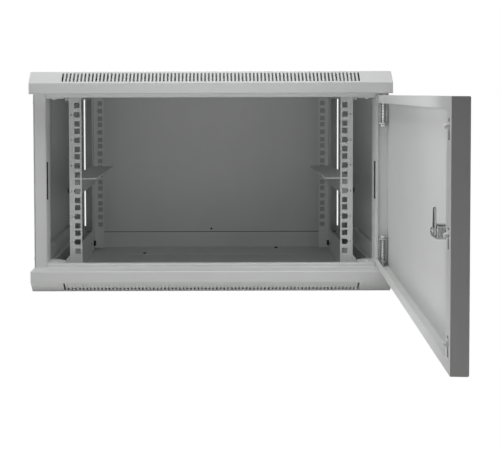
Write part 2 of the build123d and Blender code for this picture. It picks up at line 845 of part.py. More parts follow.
def lock_plug():
    shape = rod("Y", lock_axis, plug_radius, door_front - lock_flange_height, plug_end)
    half = cam_square / 2
    shape += block(lock_x - half, lock_x + half, plug_end, plug_end + cam_thickness, -half, half)
    slot = block(lock_x - key_slot_width / 2, lock_x + key_slot_width / 2, front - lock_flange_height,
                 door_front + door_sheet, -key_slot_height / 2, key_slot_height / 2)
    return shape - slot


def lock_cam():
    """The cam points up, unlocked."""
    hub = rod("Y", lock_axis, cam_width / 2, plug_end, plug_end + cam_thickness)
    tip = cam_reach - cam_tip_width / 2
    outline = [(lock_x - cam_width / 2, 0), (lock_x + cam_width / 2, 0),
               (lock_x + cam_tip_width / 2, tip), (lock_x - cam_tip_width / 2, tip)]
    arm = prism(outline, "Y", plug_end, plug_end + cam_thickness)
    end = rod("Y", (lock_x, tip), cam_tip_width / 2, plug_end, plug_end + cam_thickness)
    half = cam_square / 2
    square = block(lock_x - half, lock_x + half, plug_end, plug_end + cam_thickness, -half, half)
    return hub + [arm, end] - square


def cam_screw():
    seat = plug_end + cam_thickness
    return hexagon("Y", lock_axis, 2 * cam_screw_radius, seat, seat + cam_screw_height)


for piece, shape in {
    "lock_body": lock_body(),
    "lock_nut": lock_nut(),
    "lock_plug": lock_plug(),
    "lock_cam": lock_cam(),
    "cam_screw": cam_screw(),
}.items():
    save(opened(shape), piece)
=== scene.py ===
import json
import math

import bmesh
import bpy
from mathutils import Matrix, Vector


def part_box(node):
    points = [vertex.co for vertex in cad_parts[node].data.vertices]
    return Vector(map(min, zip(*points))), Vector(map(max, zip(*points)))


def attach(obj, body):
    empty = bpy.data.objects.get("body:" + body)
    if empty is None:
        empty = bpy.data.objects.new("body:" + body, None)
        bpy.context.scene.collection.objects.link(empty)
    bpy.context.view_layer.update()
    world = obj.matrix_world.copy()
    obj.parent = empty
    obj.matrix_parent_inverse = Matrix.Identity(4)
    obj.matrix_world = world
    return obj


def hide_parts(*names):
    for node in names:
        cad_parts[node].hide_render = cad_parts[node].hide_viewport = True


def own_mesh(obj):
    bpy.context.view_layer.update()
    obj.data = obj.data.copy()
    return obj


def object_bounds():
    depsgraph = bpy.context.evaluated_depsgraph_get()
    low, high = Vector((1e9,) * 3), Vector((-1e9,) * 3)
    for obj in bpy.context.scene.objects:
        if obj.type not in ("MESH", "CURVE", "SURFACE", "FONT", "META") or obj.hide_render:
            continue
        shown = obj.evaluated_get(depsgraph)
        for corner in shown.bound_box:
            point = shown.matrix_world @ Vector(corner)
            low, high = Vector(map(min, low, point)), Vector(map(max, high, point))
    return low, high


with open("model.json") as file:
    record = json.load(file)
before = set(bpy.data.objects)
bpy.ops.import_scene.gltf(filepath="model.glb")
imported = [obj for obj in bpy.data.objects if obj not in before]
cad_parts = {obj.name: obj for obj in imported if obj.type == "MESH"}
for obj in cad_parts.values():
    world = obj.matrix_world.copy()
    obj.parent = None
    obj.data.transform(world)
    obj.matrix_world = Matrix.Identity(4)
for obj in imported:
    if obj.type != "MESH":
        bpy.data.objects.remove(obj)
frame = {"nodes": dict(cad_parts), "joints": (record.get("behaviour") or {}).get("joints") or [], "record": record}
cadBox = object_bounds()
nodes = frame["nodes"]
print("frame loaded:", len(nodes), "CAD pieces")


# Small helpers

def boxOf(name):
    low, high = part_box(name)
    return low, high, (low + high) / 2


def addInput(tree, name, socketType):
    return tree.interface.new_socket(name, in_out="INPUT", socket_type=socketType)


def addSizes(tree, **sizes):
    for name, value in sizes.items():
        addInput(tree, name, "NodeSocketFloat").default_value = value


def nodeGroup(name):
    tree = bpy.data.node_groups.new(name, "GeometryNodeTree")
    addInput(tree, "Geometry", "NodeSocketGeometry")
    tree.interface.new_socket("Geometry", in_out="OUTPUT", socket_type="NodeSocketGeometry")
    return tree


def addNode(tree, kind, inputs=None, **settings):
    node = tree.nodes.new(kind)
    for key, value in settings.items():
        setattr(node, key, value)
    for key, value in (inputs or {}).items():
        socket = node.inputs[key]
        if isinstance(value, bpy.types.NodeSocket):
            tree.links.new(value, socket)
        else:
            socket.default_value = value
    return node


def addMath(tree, operation, *values):
    node = addNode(tree, "ShaderNodeMath", dict(enumerate(values)), operation=operation)
    return node.outputs[0]


def endTree(tree, geometry, finish):
    # every tree ends in plain geometry that wears its finish
    whole = addNode(tree, "GeometryNodeRealizeInstances", {"Geometry": geometry})
    done = addNode(tree, "GeometryNodeSetMaterial", {
        "Geometry": whole.outputs["Geometry"], "Material": finish})
    output = tree.nodes.new("NodeGroupOutput")
    tree.links.new(done.outputs["Geometry"], output.inputs["Geometry"])
    return tree


def pointObject(name, places):
    # a mesh of bare points, for a Geometry Nodes tree to work on
    mesh = bpy.data.meshes.new(name)
    mesh.from_pydata([tuple(place) for place in places], [], [])
    made = bpy.data.objects.new(name, mesh)
    bpy.context.scene.collection.objects.link(made)
    return made


def growFromTree(made, tree, values):
    # runs the tree on the object, and keeps its result as a plain mesh
    modifier = made.modifiers.new(tree.name, "NODES")
    modifier.node_group = tree
    for item in tree.interface.items_tree:
        if item.item_type == "SOCKET" and item.in_out == "INPUT" and item.name in values:
            modifier[item.identifier] = values[item.name]
    bpy.context.view_layer.update()
    evaluated = made.evaluated_get(bpy.context.evaluated_depsgraph_get())
    mesh = bpy.data.meshes.new_from_object(evaluated)
    made.modifiers.remove(modifier)
    made.data = mesh


def meshObject(name, mesh, material):
    made = bpy.data.objects.new(name, mesh)
    bpy.context.scene.collection.objects.link(made)
    mesh.materials.clear()
    mesh.materials.append(material)
    return made


# Finishes

def newMaterial(name):
    material = bpy.data.materials.new(name)
    material.use_nodes = True
    tree = material.node_tree
    shader = tree.nodes["Principled BSDF"]
    place = addNode(tree, "ShaderNodeTexCoord").outputs["Object"]
    return material, tree, shader, place


def noiseOver(tree, place, scale, detail):
    node = addNode(tree, "ShaderNodeTexNoise", {"Vector": place, "Scale": scale, "Detail": detail})
    return node.outputs["Fac"]


def tonesOver(tree, place, scale, dark, light, low=0.35, high=0.65):
    # two close tones that drift into each other over the surface
    ramp = addNode(tree, "ShaderNodeValToRGB", {"Fac": noiseOver(tree, place, scale, 3.0)})
    ramp.color_ramp.elements[0].position = low
    ramp.color_ramp.elements[1].position = high
    ramp.color_ramp.elements[0].color = (*dark, 1)
    ramp.color_ramp.elements[1].color = (*light, 1)
    return ramp.outputs["Color"]


def spread(tree, value, low, high):
    node = addNode(tree, "ShaderNodeMapRange", {"Value": value, "To Min": low, "To Max": high})
    return node.outputs["Result"]


def addGrain(tree, shader, height, depth, strength):
    bump = addNode(tree, "ShaderNodeBump", {
        "Height": height, "Distance": depth, "Strength": strength})
    tree.links.new(bump.outputs["Normal"], shader.inputs["Normal"])


powderCoat = {
    "dark": (0.70, 0.71, 0.705),
    "light": (0.735, 0.745, 0.74),
    "driftScale": 5.0,
    "grainScale": 1500.0,
    "waveLength": 6,  # in grains, for the slower unevenness
    "grainDepth": 0.00006,
    "grainStrength": 0.35,
    "roughness": (0.42, 0.56),
}


def makePowderCoat(name, settings):
    material, tree, shader, place = newMaterial(name)
    colour = tonesOver(tree, place, settings["driftScale"], settings["dark"], settings["light"])
    tree.links.new(colour, shader.inputs["Base Color"])
    grain = noiseOver(tree, place, settings["grainScale"], 2.0)
    wave = noiseOver(tree, place, settings["grainScale"] / settings["waveLength"], 1.0)
    tree.links.new(spread(tree, grain, *settings["roughness"]), shader.inputs["Roughness"])
    addGrain(tree, shader, addMath(tree, "ADD", grain, wave), settings["grainDepth"],
             settings["grainStrength"])
    return material


plating = {
    "zinc": {"dark": (0.47, 0.472, 0.475), "light": (0.60, 0.602, 0.605), "scale": 220.0,
             "roughness": (0.40, 0.56), "grainDepth": 0.00002},
    "chrome": {"dark": (0.28, 0.282, 0.285), "light": (0.42, 0.422, 0.425), "scale": 60.0,
               "roughness": (0.12, 0.2), "grainDepth": 0.000004},
    "blackened": {"dark": (0.02, 0.02, 0.02), "light": (0.06, 0.06, 0.06), "scale": 300.0,
                  "roughness": (0.4, 0.6), "grainDepth": 0.00002},
    "wire": {"dark": (0.20, 0.20, 0.203), "light": (0.32, 0.32, 0.323), "scale": 400.0,
             "roughness": (0.40, 0.56), "grainDepth": 0.00001},
}

platingGrain = {
    "perPatch": 5,  # grains across one patch of tone
    "strength": 0.5,
}


def makePlating(name, settings):
    material, tree, shader, place = newMaterial(name)
    shader.inputs["Metallic"].default_value = 1.0
    tones = settings["dark"], settings["light"]
    colour = tonesOver(tree, place, settings["scale"], *tones, low=0.3, high=0.7)
    tree.links.new(colour, shader.inputs["Base Color"])
    grain = noiseOver(tree, place, settings["scale"] * platingGrain["perPatch"], 2.0)
    tree.links.new(spread(tree, grain, *settings["roughness"]), shader.inputs["Roughness"])
    addGrain(tree, shader, grain, settings["grainDepth"], platingGrain["strength"])
    return material


plastic = {
    "dark": (0.90, 0.90, 0.88),
    "light": (0.94, 0.94, 0.93),
    "driftScale": 90.0,
    "lightBelow": 0.6,  # how much light goes into it, and how deep
    "lightDepth": 0.004,
    "grainScale": 1200.0,
    "grainDepth": 0.00004,
    "grainStrength": 0.4,
    "roughness": (0.5, 0.65),
}


def makePlastic(name, settings):
    material, tree, shader, place = newMaterial(name)
    colour = tonesOver(tree, place, settings["driftScale"], settings["dark"], settings["light"])
    tree.links.new(colour, shader.inputs["Base Color"])
    shader.inputs["Subsurface Weight"].default_value = settings["lightBelow"]
    shader.inputs["Subsurface Radius"].default_value = (settings["lightDepth"],) * 3
    shader.inputs["Subsurface Scale"].default_value = 1.0
    grain = noiseOver(tree, place, settings["grainScale"], 2.0)
    tree.links.new(spread(tree, grain, *settings["roughness"]), shader.inputs["Roughness"])
    addGrain(tree, shader, grain, settings["grainDepth"], settings["grainStrength"])
    return material


finishes = {
    "light_grey_powder_coat": makePowderCoat("lightGreyPowderCoat", powderCoat),
    "zinc_plated_steel": makePlating("zincPlate", plating["zinc"]),
    "blackened_steel": makePlating("blackenedSteel", plating["blackened"]),
    "lock_metal": makePlating("brightChrome", plating["chrome"]),
    "spring_steel": makePlating("darkSpringWire", plating["wire"]),
    "bumper_plastic": makePlastic("offWhitePlastic", plastic),
}
for part in frame["record"]["subparts"]:
    piece = nodes[part["node"]]
    piece.data.materials.clear()
    piece.data.materials.append(finishes[part["material_slot"]])
print("finishes made:", ", ".join(finishes))


# Turned shapes, built along +Z and then set in place

def turned(profile, sides, radiusAt=None, heightAt=None, bored=False):
    # profile runs (radius, height) from ring to ring; a bored shape closes on its first ring,
    # and the others get end caps
    points, faces = [], []
    for ring, (radius, height) in enumerate(profile):
        for side in range(sides):
            angle = 2 * math.pi * side / sides
            far = radiusAt(ring, side, radius, height) if radiusAt else radius
            high = heightAt(ring, side, height) if heightAt else height
            points.append((far * math.cos(angle), far * math.sin(angle), high))
    count = len(profile)
    for ring in range(count if bored else count - 1):
        after = (ring + 1) % count
        for side in range(sides):
            beside = (side + 1) % sides
            faces.append((ring * sides + side, ring * sides + beside,
                          after * sides + beside, after * sides + side))
    if not bored:
        faces.append(tuple(range(sides))[::-1])
        faces.append(tuple(range((count - 1) * sides, count * sides)))
    return points, faces


smoothAngle = math.radians(35)


def cleanMesh(name, points, faces, matrix=None):
    # normals are turned outwards, and faces that meet gently are shaded smooth
    mesh = bpy.data.meshes.new(name)
    mesh.from_pydata(points, [], faces)
    work = bmesh.new()
    work.from_mesh(mesh)
    bmesh.ops.recalc_face_normals(work, faces=work.faces)
    for face in work.faces:
        face.smooth = True
    for edge in work.edges:
        edge.smooth = edge.calc_face_angle(math.pi) < smoothAngle
    work.to_mesh(mesh)
    work.free()
    if matrix:
        mesh.transform(matrix)
    return mesh


def facing(direction, spin=0.0):
    return Vector(direction).to_track_quat("Z", "Y") @ Matrix.Rotation(spin, 3, "Z").to_quaternion()


def standing(centre, direction, spin=0.0):
    return Matrix.Translation(centre) @ facing(direction, spin).to_matrix().to_4x4()


def islandsOf(name):
    # the separate solids of a CAD node, each as a list of its corners
    work = bmesh.new()
    work.from_mesh(nodes[name].data)
    bmesh.ops.remove_doubles(work, verts=work.verts, dist=1e-6)
    unseen = set(work.verts)
    islands = []
    while unseen:
        edgeOfSearch = [unseen.pop()]
        found = list(edgeOfSearch)
        while edgeOfSearch:
            for edge in edgeOfSearch.pop().link_edges:
                for vert in edge.verts:
                    if vert in unseen:
                        unseen.discard(vert)
                        edgeOfSearch.append(vert)
                        found.append(vert)
        islands.append([vert.co.copy() for vert in found])
    work.free()
    return islands


def headedPlaces(name, axis, turn=None):
    # for each screw or bolt: the middle of its outer end, the way that end faces, and its length
    places = []
    for corners in islandsOf(name):
        if turn:
            corners = [turn.inverted() @ corner for corner in corners]
        low, high = min(c[axis] for c in corners), max(c[axis] for c in corners)
        others = [i for i in range(3) if i != axis]
        middle = [sum(c[i] for c in corners) / len(corners) for i in range(3)]

        def reach(end):
            return max(math.dist([c[i] for i in others], [middle[i] for i in others])
                       for c in corners if abs(c[axis] - end) < 1e-5)

        headHigh = reach(high) >= reach(low)
        middle[axis] = high if headHigh else low
        direction = [0, 0, 0]
        direction[axis] = 1 if headHigh else -1
        places.append((Vector(middle), Vector(direction), high - low))
    return places


def placerTree():
    # sets a copy of one piece at each point, turned as the point says
    tree = nodeGroup("placePieces")
    addInput(tree, "Piece", "NodeSocketObject")
    addInput(tree, "Finish", "NodeSocketMaterial")
    given = tree.nodes.new("NodeGroupInput").outputs
    piece = addNode(tree, "GeometryNodeObjectInfo", {"Object": given["Piece"]},
                    transform_space="ORIGINAL")
    turn = addNode(tree, "GeometryNodeInputNamedAttribute", {"Name": "turn"},
                   data_type="FLOAT_VECTOR")
    copies = addNode(tree, "GeometryNodeInstanceOnPoints", {
        "Points": given["Geometry"], "Instance": piece.outputs["Geometry"],
        "Rotation": turn.outputs["Attribute"]})
    return endTree(tree, copies.outputs["Instances"], given["Finish"])


placer = placerTree()


def setPieces(name, mesh, places, slotName):
    # places are (point, direction, spin)
    made = pointObject(name, [place[0] for place in places])
    turns = made.data.attributes.new("turn", "FLOAT_VECTOR", "POINT")
    for i, (_, direction, spin) in enumerate(places):
        turns.data[i].vector = facing(direction, spin).to_euler()
    pattern = bpy.data.objects.new(name + "Pattern", mesh)
    bpy.context.scene.collection.objects.link(pattern)
    growFromTree(made, placer, {"Piece": pattern, "Finish": finishes[slotName]})
    bpy.data.objects.remove(pattern)
    bpy.data.meshes.remove(mesh)
    return made


def dress(made, body, slotName, *replaced):
    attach(made, body)
    if replaced:
        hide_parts(*replaced)


# Screws with a cross recess, hexagon bolts and nuts

screwShape = {
    "headRadius": 0.0038,
    "headHeight": 0.0022,
    "shankRadius": 0.002,
    "sides": 12,
    "topRings": ((0.16, 1.0), (0.40, 0.99), (0.62, 0.95), (0.86, 0.78), (1.0, 0.42), (1.0, 0.0)),
    "recess": (0.55, 0.5, 0.0),  # of the head's height, ring by ring
    "tipLength": 0.0004,
    "tipRadius": 0.8,  # of the shank's
    "spin": 0.4,  # from each screw to the next
}


def screwMesh(length):
    radius, height = screwShape["headRadius"], screwShape["headHeight"]
    profile = [(radius * far, height * high) for far, high in screwShape["topRings"]]
    neck = screwShape["shankRadius"]
    profile += [(neck, 0.0), (neck, height - length + screwShape["tipLength"]),
                (neck * screwShape["tipRadius"], height - length)]
    depth = screwShape["recess"]
    arms = screwShape["sides"] // 4

    def heightAt(ring, side, high):
        if ring == 0 or (ring < len(depth) and side % arms == 0):
            return high - depth[ring] * height
        return high

    shape = turned(profile, screwShape["sides"], heightAt=heightAt)
    return cleanMesh("crossScrew", *shape, Matrix.Translation((0, 0, -height)))


boltShape = {
    "width": 0.010,
    "headHeight": 0.004,
    "shankRadius": 0.003,
    "chamfer": 0.0005,
    "bore": 0.00305,
    "sides": 12,
    "faceRadius": 0.475,  # of the width, for the round face inside the chamfer
}


def hexRing(width, side, sides):
    # distance from the middle to a hexagon's outline
    return width / 2 / math.cos(2 * math.pi * side / sides % (math.pi / 3) - math.pi / 6)


def boltMesh(length):
    width, height, cut = boltShape["width"], boltShape["headHeight"], boltShape["chamfer"]
    neck, face = boltShape["shankRadius"], width * boltShape["faceRadius"]
    sides = boltShape["sides"]
    profile = [(face, height), (width / 2, height - cut), (width / 2, 0.0), (neck, 0.0),
               (neck, height - length + cut), (neck - cut, height - length)]

    def radiusAt(ring, side, radius, high):
        return hexRing(width, side, sides) if ring in (1, 2) else radius

    shape = turned(profile, sides, radiusAt)
    return cleanMesh("hexBolt", *shape, Matrix.Translation((0, 0, -height)))


def nutMesh(width, height, bore, cut, sides):
    face = width * boltShape["faceRadius"]
    profile = [(bore, height), (face, height), (width / 2, height - cut), (width / 2, cut),
               (face, 0.0), (bore, 0.0)]

    def radiusAt(ring, side, radius, high):
        return hexRing(width, side, sides) if ring in (2, 3) else radius

    shape = turned(profile, sides, radiusAt, bored=True)
    return cleanMesh("hexNut", *shape, Matrix.Translation((0, 0, -height)))


fixings = {
    "rear_panel_screws": {"axis": 1, "slot": "blackened_steel"},
    "side_panel_screws": {"axis": 0, "slot": "zinc_plated_steel"},
    "gusset_screws": {"axis": 2, "slot": "light_grey_powder_coat"},
    "cable_plate_screws": {"axis": 2, "slot": "blackened_steel"},
    "fan_plate_screws": {"axis": 2, "slot": "light_grey_powder_coat"},
    "rail_bolts": {"axis": 0, "slot": "blackened_steel"},
    "shelf_bracket_bolts": {"axis": 0, "slot": "blackened_steel"},
    "rail_nuts": {"axis": 0, "slot": "blackened_steel"},
    "shelf_bracket_nuts": {"axis": 0, "slot": "blackened_steel"},
}

for nodeName, settings in fixings.items():
    found = headedPlaces(nodeName, settings["axis"])
    length, spin = found[0][2], 0.0
    if nodeName.endswith("nuts"):
        mesh = nutMesh(boltShape["width"], boltShape["headHeight"], boltShape["bore"],
                       boltShape["chamfer"], boltShape["sides"])
    elif nodeName.endswith("bolts"):
        mesh = boltMesh(length)
    else:
        mesh, spin = screwMesh(length), screwShape["spin"]
    places = [(at, direction, spin * i) for i, (at, direction, _) in enumerate(found)]
    made = setPieces(nodeName.title().replace("_", "") + "Detail", mesh, places, settings["slot"])
    dress(made, "cabinet", settings["slot"], nodeName)
print("fixings made:", len(fixings))


# Places on the door: given for the closed door, and turned open as it stands at rest

joints = {joint["name"]: joint for joint in frame["joints"]}
hinge = Vector(joints["door_hinge"]["pos_m"])
openAngle = -math.radians(joints["door_hinge"]["range_deg"][0])
doorTurn = (Matrix.Translation(hinge) @ Matrix.Rotation(openAngle, 4, "Z")
            @ Matrix.Translation(-hinge))
inward = doorTurn.to_3x3() @ Vector((0, 1, 0))


# Hinge pins: a round wire spring, an open retaining ring and a knurled knob on each

pinShape = {
    "springTurns": 9.0,
    "springRadius": 0.0041,
    "wireRadius": 0.0004,
    "pinRadius": 0.003,
    "ringRadius": 0.0055,
    "ringOpening": 60.0,
    "knobRadius": 0.0045,
    "knobHeight": 0.005,
    "knobTeeth": 18,
    "toothRoot": 0.92,  # of the knob's radius
    "travel": 0.008,
}


def springTree():
    # a coil whose first and last turns lie close, as a compression spring's do
    tree = nodeGroup("coilSpring")
    addSizes(tree, Turns=8.0, Radius=0.004, Wire=0.0004, Foot=0.0, Height=0.03)
    addInput(tree, "Middle", "NodeSocketVector")
    addInput(tree, "Finish", "NodeSocketMaterial")
    given = tree.nodes.new("NodeGroupInput").outputs
    coil = addNode(tree, "GeometryNodeCurveSpiral", {
        "Resolution": 20, "Rotations": given["Turns"], "Start Radius": given["Radius"],
        "End Radius": given["Radius"], "Height": 0.0})
    along = addNode(tree, "GeometryNodeSplineParameter").outputs["Factor"]
    close = addNode(tree, "ShaderNodeMapRange", {"Value": along}, interpolation_type="SMOOTHSTEP")
    half = addMath(tree, "MULTIPLY", addMath(tree, "ADD", along, close.outputs["Result"]), 0.5)
    rise = addMath(tree, "MULTIPLY_ADD", half, given["Height"], given["Foot"])
    lift = addNode(tree, "ShaderNodeCombineXYZ", {"Z": rise})
    moved = addNode(tree, "ShaderNodeVectorMath", {0: lift.outputs[0], 1: given["Middle"]},
                    operation="ADD")
    placed = addNode(tree, "GeometryNodeSetPosition", {
        "Geometry": coil.outputs["Curve"], "Offset": moved.outputs[0]})
    wire = addNode(tree, "GeometryNodeCurvePrimitiveCircle", {
        "Resolution": 8, "Radius": given["Wire"]})
    mesh = addNode(tree, "GeometryNodeCurveToMesh", {
        "Curve": placed.outputs["Geometry"], "Profile Curve": wire.outputs["Curve"],
        "Fill Caps": True})
    return endTree(tree, mesh.outputs["Mesh"], given["Finish"])


def openRingTree():
    # a flat ring with a gap, swept from an arc
    tree = nodeGroup("openRing")
    addSizes(tree, Inner=0.003, Outer=0.0055, Thickness=0.001, Sweep=5.0)
    addInput(tree, "Middle", "NodeSocketVector")
    addInput(tree, "Finish", "NodeSocketMaterial")
    given = tree.nodes.new("NodeGroupInput").outputs
    middle = addMath(tree, "MULTIPLY", addMath(tree, "ADD", given["Inner"], given["Outer"]), 0.5)
    arc = addNode(tree, "GeometryNodeCurveArc", {
        "Resolution": 28, "Radius": middle, "Start Angle": 0.6, "Sweep Angle": given["Sweep"]})
    bar = addNode(tree, "GeometryNodeCurvePrimitiveQuadrilateral", {
        "Width": addMath(tree, "SUBTRACT", given["Outer"], given["Inner"]),
        "Height": given["Thickness"]})
    mesh = addNode(tree, "GeometryNodeCurveToMesh", {
        "Curve": arc.outputs["Curve"], "Profile Curve": bar.outputs["Curve"], "Fill Caps": True})
    placed = addNode(tree, "GeometryNodeTransform", {
        "Geometry": mesh.outputs["Mesh"], "Translation": given["Middle"]})
    return endTree(tree, placed.outputs["Geometry"], given["Finish"])


def knobMesh(foot, way):
    # teeth round a small turned knob; way is the direction its free end faces
    radius, height = pinShape["knobRadius"], pinShape["knobHeight"]
    sides = 2 * pinShape["knobTeeth"]
    profile = [(radius * 0.80, 0.0), (radius * 0.98, 0.0005), (radius, 0.001),
               (radius, height - 0.001), (radius * 0.98, height - 0.0005), (radius * 0.72, height)]

    def radiusAt(ring, side, far, high):
        return far * pinShape["toothRoot"] if 1 <= ring <= 4 and side % 2 else far

    place = standing(Vector((hinge.x, hinge.y, foot)), way)
    return cleanMesh("pinKnob", *turned(profile, sides, radiusAt), place)


spring, openRing = springTree(), openRingTree()
for level, way in (("upper", 1), ("lower", -1)):
    low, high, middle = boxOf(f"{level}_pin_spring")
    wire = pinShape["wireRadius"]
    coil = pointObject(f"{level}PinCoil", [middle])
    growFromTree(coil, spring, {
        "Turns": pinShape["springTurns"], "Radius": pinShape["springRadius"], "Wire": wire,
        "Foot": low.z + wire, "Height": high.z - low.z - 2 * wire,
        "Middle": (hinge.x, hinge.y, 0.0), "Finish": finishes["spring_steel"]})
    dress(coil, "door", "spring_steel", f"{level}_pin_spring")
    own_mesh(coil)

    low, high, middle = boxOf(f"{level}_pin_clip")
    ring = pointObject(f"{level}PinRing", [middle])
    growFromTree(ring, openRing, {
        "Inner": pinShape["pinRadius"], "Outer": pinShape["ringRadius"],
        "Thickness": high.z - low.z, "Sweep": math.radians(360 - pinShape["ringOpening"]),
        "Middle": (hinge.x, hinge.y, middle.z), "Finish": finishes["zinc_plated_steel"]})
    dress(ring, f"{level}_pin", "zinc_plated_steel", f"{level}_pin_clip")

    low, high, _ = boxOf(f"{level}_pin_knob")
    mesh = knobMesh(high.z if way > 0 else low.z, (0, 0, -way))
    knob = meshObject(f"{level}PinKnobTurned", mesh, finishes["zinc_plated_steel"])
    dress(knob, f"{level}_pin", "zinc_plated_steel", f"{level}_pin_knob")
print("hinge pins dressed")


# Bumpers on the door's lip

bumperShape = {
    "height": 0.0052,
    "profile": ((0.20, 1.0), (0.60, 0.97), (0.86, 0.84), (0.97, 0.62), (1.0, 0.10), (0.94, 0.0)),
    "radius": 0.003,
    "stem": 0.0015,
    "sides": 16,
}


def bumperMesh(length):
    radius, height = bumperShape["radius"], bumperShape["height"]
    profile = [(radius * far, height * high) for far, high in bumperShape["profile"]]
    profile += [(bumperShape["stem"], 0.0), (bumperShape["stem"], height - length)]
    shape = turned(profile, bumperShape["sides"])
    return cleanMesh("roundBumper", *shape, Matrix.Translation((0, 0, -height)))


found = headedPlaces("door_bumpers", 1, doorTurn)
bumperSpots = []
for at, direction, length in found:
    at.y = at.y if direction.y > 0 else at.y + length
    bumperSpots.append((doorTurn @ at, inward, 0.0))
bumpers = setPieces("roundBumpers", bumperMesh(found[0][2]), bumperSpots, "bumper_plastic")
dress(bumpers, "door", "bumper_plastic", "door_bumpers")
print("bumpers made:", len(bumperSpots))


# Cam lock: threaded body with a domed flange, ring nut, bevelled cam and its screw

lockShape = {
    "doorHalfThickness": 0.010,
    "flangeRadius": 0.0115,
    "flangeHeight": 0.0025,
    "boreRadius": 0.00605,
    "bodyLength": 0.028,
    "threadCrest": 0.00875,
    "threadRoot": 0.0082,
    "threadPitch": 0.0015,
    "threadSides": 32,
    "nutWidth": 0.022,
    "nutHeight": 0.004,
    "nutBore": 0.0089,
    "nutChamfer": 0.0008,
    "nutSides": 24,
    "doorSheet": 0.0012,
    "camStart": 0.0283,
    "camThickness": 0.002,
    "camHub": 0.0065,
    "camTip": 0.0045,
    "camReach": 0.0265,
    "camEdge": 0.0004,
    "screwWidth": 0.0092,
    "screwHeight": 0.0026,
    "screwSides": 24,
}


def lockBodyMesh(place):
    flange, bore = lockShape["flangeRadius"], lockShape["boreRadius"]
    top, end = -lockShape["flangeHeight"], lockShape["bodyLength"]
    crest, root, pitch = lockShape["threadCrest"], lockShape["threadRoot"], lockShape["threadPitch"]
    profile = [(bore, top + 0.0002), (bore + 0.0004, top), (flange - 0.0012, top),
               (flange - 0.0003, top + 0.0004), (flange, top + 0.0010), (flange, 0.0), (root, 0.0)]
    threadStart = len(profile)
    turns = int((end - 0.0012) / pitch * 4)
    profile += [(crest, 0.0006 + ring * pitch / 4) for ring in range(turns)]
    threadEnd = len(profile)
    profile += [(root, end - 0.0002), (root - 0.0003, end), (bore, end)]

    def radiusAt(ring, side, radius, height):
        if not threadStart <= ring < threadEnd:
            return radius
        phase = (height / pitch - side / lockShape["threadSides"]) % 1.0
        return root + (crest - root) * abs(1 - 2 * phase)

    shape = turned(profile, lockShape["threadSides"], radiusAt, bored=True)
    return cleanMesh("lockBodyThreaded", *shape, place)


def camMesh(place):
    hub, tip, reach = lockShape["camHub"], lockShape["camTip"], lockShape["camReach"]
    thick, cut = lockShape["camThickness"], lockShape["camEdge"]
    start = lockShape["camStart"]
    arc = [math.radians(15 * step) for step in range(13)]
    outline = [(tip * math.cos(turn), reach - tip + tip * math.sin(turn)) for turn in arc]
    outline += [(-hub * math.cos(turn), -hub * math.sin(turn)) for turn in arc]
    points = []
    for inset, high in ((cut, 0.0), (0.0, cut), (0.0, thick - cut), (cut, thick)):
        for x, y in outline:
            middle = reach - tip if y > reach / 2 else 0.0
            size = math.hypot(x, y - middle) or 1.0
            points.append((x - inset * x / size, y - inset * (y - middle) / size, start + high))
    count = len(outline)
    faces = [tuple(range(count)), tuple(range(3 * count, 4 * count))]
    for ring in range(3):
        for side in range(count):
            beside = (side + 1) % count
            faces.append((ring * count + side, ring * count + beside, (ring + 1) * count + beside,
                          (ring + 1) * count + side))
    return cleanMesh("camPlate", points, faces, place)


def camScrewMesh(place):
    width, height = lockShape["screwWidth"], lockShape["screwHeight"]
    sides = lockShape["screwSides"]
    foot = lockShape["camStart"] + lockShape["camThickness"]
    top = foot + height
    profile = [(width / 2, foot), (width / 2, top - 0.0005), (width * 0.46, top),
               (width * 0.34, top), (width * 0.32, top - 0.0003)]

    def radiusAt(ring, side, radius, high):
        return hexRing(width, side, sides) if ring < 2 else radius

    return cleanMesh("camScrewHead", *turned(profile, sides, radiusAt), place)


lockPlace = standing(Vector(joints["lock_turn"]["pos_m"])
                     - inward * lockShape["doorHalfThickness"], inward)
nutPlace = lockPlace @ Matrix.Translation((0, 0, lockShape["doorSheet"] + lockShape["nutHeight"]))
ringNut = nutMesh(lockShape["nutWidth"], lockShape["nutHeight"], lockShape["nutBore"],
                  lockShape["nutChamfer"], lockShape["nutSides"])
ringNut.transform(nutPlace)
for pieceName, mesh, body, replaced in (
        ("lockBodyThreaded", lockBodyMesh(lockPlace), "door", "lock_body"),
        ("lockRingNut", ringNut, "door", "lock_nut"),
        ("lockCamPlate", camMesh(lockPlace), "lock_barrel", "lock_cam"),
        ("camScrewHead", camScrewMesh(lockPlace), "lock_barrel", "cam_screw")):
    dress(meshObject(pieceName, mesh, finishes["lock_metal"]), body, "lock_metal", replaced)
print("cam lock made")


# Push-in plugs in the wall holes

plugShape = {
    "postSheet": 0.0015,
    "sides": 20,
    "profile": ((0.0012, 0.0012), (0.0036, 0.0010), (0.0052, 0.0006), (0.0055, 0.0),
                (0.0039, 0.0), (0.0039, -0.0013), (0.0030, -0.0014)),
}

mounts = {mount["name"]: mount["dims"] for mount in frame["record"]["mounts"]}
halfX, halfZ = (mounts["wall_bolts"][key] / 2000 for key in ("spacing_x_mm", "spacing_y_mm"))
spots = [(Vector((x, -plugShape["postSheet"], z)), Vector((0, -1, 0)), 0.0)
         for x in (-halfX, halfX) for z in (-halfZ, halfZ)]
plugMesh = cleanMesh("wallHolePlug", *turned(plugShape["profile"], plugShape["sides"]))
plugs = setPieces("wallHolePlugs", plugMesh, spots, "bumper_plastic")
dress(plugs, "cabinet", "bumper_plastic")


# Dark strips along the rear panel's edges, and behind the holes of the rear rails: painted shade, standing for the
# thin shadow under the panel's edge and the shade behind the holes

# the blackened lines along the rear panel's edges are painted shade, drawn where the edge would throw a thin
# shadow
paintedShadeStrip = {
    "height": 0.0014,
    "ends": 0.002,
    "corner": 0.0003,
}

